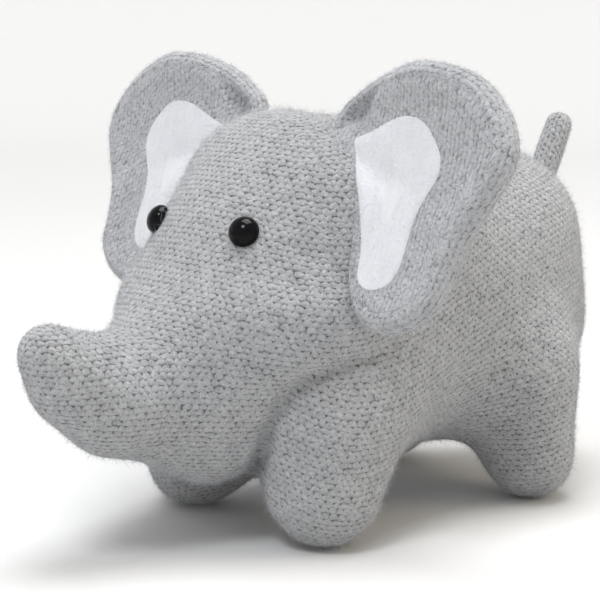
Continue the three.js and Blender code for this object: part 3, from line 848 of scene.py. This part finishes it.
def fleece_material(name):
    m, nt, p = new_material(name)
    k = Nodes(nt)
    streak = k.noise(420.0, 3.0, 0.6, stretch=(1.0, 0.25, 0.25))
    pile = k.noise(2600.0, 3.0, 0.7)
    colour = k.mix(k.ramp(streak, 0.3, 0.7), (0.59, 0.60, 0.628), (0.637, 0.646, 0.673))
    colour = k.mix(k.math("MULTIPLY", k.ramp(pile, 0.35, 0.6), 0.25), colour, (0.75, 0.76, 0.785))
    nt.links.new(colour, p.inputs["Base Color"])
    nt.links.new(k.ramp(pile, 0.2, 0.8, 0.88, 1.0), p.inputs["Roughness"])
    p.inputs["Specular IOR Level"].default_value = 0.15
    p.inputs["Sheen Weight"].default_value = 0.5
    p.inputs["Sheen Roughness"].default_value = 0.4
    h = k.math("ADD", k.math("MULTIPLY", pile, 0.6), k.math("MULTIPLY", streak, 0.35))
    nt.links.new(k.bump(h, 0.0004), p.inputs["Normal"])
    return m


fleece = fleece_material("white_fleece_pile")



def polar_cloth(centre, reach, power, height, hold_at, cap):
    """Puffs a coarse copy of a closed pad, and gives the move as a lookup over the same rings."""
    R, A = 12, 84
    cuv, cz, cq, cc = polar(centre, reach, R, A, power=power)
    cp = ear_world(cuv[:, 0], cuv[:, 1], height(cuv, cz), 1)
    move = inflate(cp, [cq, cc], hold_at(cuv), cap)
    proud = (move @ EW)[:, None] * EW
    move = proud + 0.2 * (move - proud)
    grid = move[: (2 * R - 1) * A].reshape(2 * R - 1, A, 3)
    grid = np.concatenate([np.repeat(move[-2][None, None], A, 1), grid, np.repeat(move[-1][None, None], A, 1)])

    for i in range(5):
        for j in (i, 2 * R - i):
            grid[j] = grid[j].mean(0)
    for _ in range(4):
        grid = 0.5 * grid + 0.25 * (np.roll(grid, 1, 1) + np.roll(grid, -1, 1))
        inner = grid[1:-1] * 0.5 + 0.25 * (grid[:-2] + grid[2:])
        grid = np.concatenate([grid[:1] * 0.5 + grid[1:2] * 0.5, inner, grid[-1:] * 0.5 + grid[-2:-1] * 0.5])

    def at(uv, back):
        d = uv - centre
        ang = np.arctan2(d[:, 1], d[:, 0])
        frac = np.clip(np.hypot(d[:, 0], d[:, 1]) / np.maximum(reach(ang), 1e-6), 0, 1)
        th = np.arcsin(frac ** (1 / power)) * 2 * R / math.pi
        th = np.where(back, 2 * R - th, th)
        ph = np.mod(ang, 2 * math.pi) * A / (2 * math.pi)
        i, j = np.clip(th.astype(int), 0, 2 * R - 1), np.mod(ph.astype(int), A)
        a, b = (th - i)[:, None], (ph - ph.astype(int))[:, None]
        j2 = (j + 1) % A
        return (grid[i, j] * (1 - b) + grid[i, j2] * b) * (1 - a) + (grid[i + 1, j] * (1 - b) + grid[i + 1, j2] * b) * a

    return at


def ear_height(uv, z):
    w = ear_middle(*uv.T)
    return np.where(np.abs(z) < 1e-9, w, w + np.sign(z) * ear_face(*uv.T) * np.where(z < 0, 0.9, 1.0))


def root_hold(uv):
    """1 along the sewn edge beside the head and round the patch, 0 elsewhere."""
    along = (uv - ROOT_MID) @ ROOT_OUT
    d = uv - PATCH_C
    ring = np.hypot(d[:, 0], d[:, 1]) - patch_reach(np.arctan2(d[:, 1], d[:, 0]))
    return np.clip(np.clip((6.0 - along) / 5.0, 0, 1) + 0.7 * np.exp(-((ring / 3.0) ** 2)), 0, 1)


rings, around = ((46, 320))
puff_at = polar_cloth(EAR_C, lambda a: ear_reach(a) - 0.7, 0.55, ear_height, root_hold, 1.3)
uv, zz, quads, caps = polar(EAR_C, lambda a: ear_reach(a) - 0.7, rings, around, power=0.55)
u, v = uv.T
w_mid = ear_middle(u, v)
w_ear = w_mid + np.sign(zz) * ear_face(u, v) * np.where(zz < 0, 0.9, 1.0)
w_ear = np.where(np.abs(zz) < 1e-9, w_mid, w_ear)
puffed = puff_at(uv, zz < 0)
uv_f, zz_f, quads_f, caps_f = polar(EAR_C, lambda a: ear_reach(a) - 2.6, 12, 64, power=0.6)
uf, vf = uv_f.T
w_fill = ear_middle(uf, vf) + np.sign(zz_f) * np.maximum(ear_face(uf, vf) - 1.5, 0.05) * np.where(np.abs(zz_f) < 1e-9, 0, 1)
uv2, zz2, quads2, caps2 = polar(PATCH_C, patch_reach, 26, 220)
pu2, pv2 = uv2.T
w_patch = ear_middle(pu2, pv2) + ear_face(pu2, pv2) + 0.05 + 0.5 * zz2
puffed2 = puff_at(uv2, zz2 < -9)

for side_name, side in (("left", 1), ("right", -1)):
    q = quads if side > 0 else quads[:, ::-1]
    c = caps if side > 0 else caps[:, ::-1]
    pts = (ear_world(u, v, w_ear, 1) + puffed) * np.array([side, 1, 1])
    ob = make_object(f"ear_knit_{side_name}", pts, [q, c])
    knit_attributes(ob, *rim_stitches(uv, zz))
    ob.data.materials.append(knit_ear)
    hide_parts(f"ear_front_{side_name}", f"ear_back_{side_name}")
    ear_bend(ob)
    inner = make_object(f"ear_filling_{side_name}", ear_world(uf, vf, w_fill, side), [quads_f, caps_f] if side > 0 else [quads_f[:, ::-1], caps_f[:, ::-1]])
    inner.data.materials.append(filling)
    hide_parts(f"ear_padding_{side_name}")
    ear_bend(inner)
    nrm = grid_normals(pts, q, c)

    def off_patch(p, side=side):
        d = p * np.array([side, 1, 1]) - EAR_O
        uu, vv, ww = d @ EX, d @ EV, d @ EW
        dd = np.stack([uu, vv], 1) - PATCH_C
        inside = np.hypot(dd[:, 0], dd[:, 1]) < patch_reach(np.arctan2(dd[:, 1], dd[:, 0])) - 0.4
        return np.where(inside & (ww > sway(uu, vv)), 0.0, 1.0)

    fz = fibres(f"ear_fibres_{side_name}", pts, q, nrm, 2.6, 2.3, 0.075, None, fibre_grey, seed=31 + side, mask=off_patch)
    ear_bend(fz)

    q2 = quads2 if side > 0 else quads2[:, ::-1]
    c2 = caps2 if side > 0 else caps2[:, ::-1]
    pts2 = (ear_world(pu2, pv2, w_patch, 1) + puffed2) * np.array([side, 1, 1])
    ob = make_object(f"ear_fleece_{side_name}", pts2, [q2, c2])
    ob.data.materials.append(fleece)
    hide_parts(f"inner_ear_patch_{side_name}")
    ear_bend(ob)
    fz = fibres(f"fleece_pile_{side_name}", pts2, q2, grid_normals(pts2, q2, c2), 9.0, 1.3, 0.08, None, fibre_white, lift=1.0, seed=51 + side, curl=0.3)
    ear_bend(fz)

# ---------------------------------------------------------------------- tail
T0, T1 = np.array([0, 107.0, 105.9]), np.array([0, 117.55, 127.6])
axis = unit((T1 - T0)[None])[0]
length = np.linalg.norm(T1 - T0)
fwd = np.cross(axis, [1.0, 0, 0])
rings_t, around_t = 56, 48
rows = []
for i in range(rings_t + 1):
    s = i / rings_t
    x = -4.0 + s * (length + 4.0 + 4.9)
    t = np.clip(x / length, 0, 1)
    r = 4.7 * (1 - t) ** 2 + 2 * 5.6 * t * (1 - t) + 4.9 * t * t
    if x < 0:
        r = 4.7 + 0.25 * (-x)
    if x > length:
        r = math.sqrt(max(0.0, 4.9**2 - (x - length) ** 2))
    rows.append((x, max(r, 0.02)))
tp, ta = [], []
for x, r in rows:
    for j in range(around_t):
        a = 2 * math.pi * j / around_t
        tp.append(T0 + axis * x + (np.array([1.0, 0, 0]) * math.cos(a) + fwd * math.sin(a)) * r)
        ta.append((x, a))
tp, ta = np.array(tp), np.array(ta)
idx = np.arange(len(tp)).reshape(rings_t + 1, around_t)
a_, b_ = idx[:-1], idx[1:]
tq = np.stack([a_, np.roll(a_, -1, 1), np.roll(b_, -1, 1), b_], -1).reshape(-1, 4)
tn = normals_of(tp, tq)
if ((tn * (tp - (T0 + np.outer((tp - T0) @ axis, axis)))).sum(1)).mean() < 0:
    tq = tq[:, ::-1]
    tn = -tn
tail = make_object("tail_knit", tp, tq)
knit_attributes(tail, np.exp(1j * 2 * math.pi * ta[:, 0] / 2.6), np.exp(1j * 9 * ta[:, 1]))
tail.data.materials.append(knit)
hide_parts("tail_cover")
fz = fibres("tail_fibres", tp, tq, tn, 2.6, 2.0, 0.075, None, fibre_grey, seed=71)
for ob in (tail, fz):
    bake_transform(ob)

# ---------------------------------------------------------------------- eyes
def eye_material():
    m, nt, p = new_material("eye_black_gloss")
    k = Nodes(nt)
    haze = k.noise(900.0, 3.0, 0.6)
    nt.links.new(k.mix(k.ramp(haze, 0.35, 0.65), (0.0015, 0.0015, 0.002), (0.003, 0.003, 0.004)), p.inputs["Base Color"])
    nt.links.new(k.ramp(k.noise(240.0, 4.0, 0.6), 0.3, 0.8, 0.05, 0.13), p.inputs["Roughness"])
    p.inputs["IOR"].default_value = 1.45
    p.inputs["Specular IOR Level"].default_value = 0.15
    return m


eye_mat = eye_material()
EYE_AT, EYE_OUT = np.array([21.79, -54.44, 102.79]), unit(np.array([[0.45, -0.76, 0.46]]))[0]
for side_name, side in (("left", 1), ("right", -1)):
    at, out = EYE_AT * [side, 1, 1], EYE_OUT * [side, 1, 1]
    p0 = onto(at[None].astype(float), steps=4)[0]
    near = np.argsort(((V - p0) ** 2).sum(1))[:60]
    p0 = p0 + out * float(((V[near] - p0) @ out).mean())
    e1 = unit(np.cross(out, [0, 0, 1.0])[None])[0]
    e2 = np.cross(out, e1)
    prof = [(0.0, -7.8), (1.5, -7.8), (1.9, -7.3), (1.9, -0.4), (4.3, -0.4), (4.75, -0.2), (4.95, 0.15), (5.0, 0.5)]
    prof += [(5.0 * math.cos(a), 0.5 + 3.9 * math.sin(a)) for a in np.linspace(0.08, math.pi / 2 - 1e-3, 18)]
    prof[-1] = (0.0, 4.4)
    around_e = 64
    pts = []
    for r, h in prof:
        for j in range(around_e):
            a = 2 * math.pi * j / around_e
            pts.append(p0 + out * (h + 0.25) + (e1 * math.cos(a) + e2 * math.sin(a)) * max(r, 0.002))
    pts = np.array(pts)
    idx = np.arange(len(pts)).reshape(len(prof), around_e)
    a_, b_ = idx[:-1], idx[1:]
    q = np.stack([a_, np.roll(a_, -1, 1), np.roll(b_, -1, 1), b_], -1).reshape(-1, 4)
    nn = normals_of(pts, q)
    if ((nn * (pts - p0)).sum(1)).mean() < 0:
        q = q[:, ::-1]
    ob = make_object(f"eye_dome_{side_name}", pts, q)
    ob.data.materials.append(eye_mat)
    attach(ob, "body")
    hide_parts(f"eye_{side_name}")

# ------------------------------------------------- pieces kept from the CAD
def washer_material():
    m, nt, p = new_material("washer_nylon")
    k = Nodes(nt)
    grain = k.noise(700.0, 3.0, 0.5)
    nt.links.new(k.mix(grain, (0.62, 0.62, 0.60), (0.72, 0.72, 0.70)), p.inputs["Base Color"])
    nt.links.new(k.ramp(grain, 0.3, 0.7, 0.42, 0.55), p.inputs["Roughness"])
    nt.links.new(k.bump(grain, 0.0001), p.inputs["Normal"])
    return m


washer = washer_material()
for name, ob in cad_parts.items():
    if "stuffing" in name or "padding" in name:
        m = filling
    elif "washer" in name:
        m = washer
    else:
        continue
    ob = bpy.data.objects[ob] if isinstance(ob, str) else ob
    ob.data.materials.clear() if not ob.material_slots else None
    if ob.material_slots:
        ob.material_slots[0].material = m
    else:
        ob.data.materials.append(m)

# ------------------------------------------------------------ floor and light
def stage_material():
    m, nt, p = new_material("pale_floor")
    k = Nodes(nt)
    tc = nt.nodes.new("ShaderNodeTexCoord")
    far = nt.nodes.new("ShaderNodeVectorMath")
    far.operation = "LENGTH"
    nt.links.new(tc.outputs["Object"], far.inputs[0])
    # painted shade: the floor's colour is darker round the toy and lightens out towards the curved backdrop
    nt.links.new(k.mix(k.ramp(far.outputs["Value"], 0.35, 1.9), (0.66, 0.66, 0.66), (0.94, 0.94, 0.94)), p.inputs["Base Color"])
    p.inputs["Roughness"].default_value = 0.9
    p.inputs["Specular IOR Level"].default_value = 0.1
    return m


prof = [(0.0, 0.0), (0.4, 0.0), (0.9, 0.0), (1.5, 0.0)]
prof += [(1.5 + 0.7 * math.sin(a), 0.7 - 0.7 * math.cos(a)) for a in np.linspace(0.1, math.pi / 2, 14)]
prof += [(2.2, 1.1)]
turns = 72
bp = np.array([(r * math.cos(2 * math.pi * j / turns), r * math.sin(2 * math.pi * j / turns), z) for r, z in prof[1:] for j in range(turns)] + [(0, 0, 0)])
bi = np.arange((len(prof) - 1) * turns).reshape(-1, turns)
bq = np.stack([bi[:-1], bi[1:], np.roll(bi[1:], -1, 1), np.roll(bi[:-1], -1, 1)], -1).reshape(-1, 4)
bc = np.stack([np.full(turns, len(bp) - 1), bi[0], np.roll(bi[0], -1)], -1)
floor = make_object("floor", bp * 1000.0, [bq, bc])
me = floor.data
me.materials.append(stage_material())

world = bpy.data.worlds.new("studio")
world.use_nodes = True
bg = world.node_tree.nodes["Background"]
bg.inputs[0].default_value = (1.0, 1.0, 1.0, 1.0)
bg.inputs[1].default_value = 0.66
bpy.context.scene.world = world


def area(name, location, target, size, power, colour, size_y=None):
    d = bpy.data.lights.new(name, "AREA")
    d.shape = "RECTANGLE"
    d.size, d.size_y = size, size_y or size
    d.energy, d.color = power, colour
    ob = bpy.data.objects.new(name, d)
    bpy.context.scene.collection.objects.link(ob)
    ob.location = location
    from mathutils import Vector

    ob.rotation_euler = (Vector(target) - Vector(location)).to_track_quat("-Z", "Y").to_euler()
    return ob


area("key", (0.30, -0.78, 1.18), (0, 0, 0.07), 0.34, 7.2, (0.955, 0.975, 1.0))
area("top", (0, 0.10, 1.35), (0, 0, 0.07), 0.8, 16.3, (1.0, 1.0, 1.0))
area("side", (0.9, 0.85, 0.75), (0, 0, 0.07), 0.5, 3.6, (1.0, 0.81, 0.48))
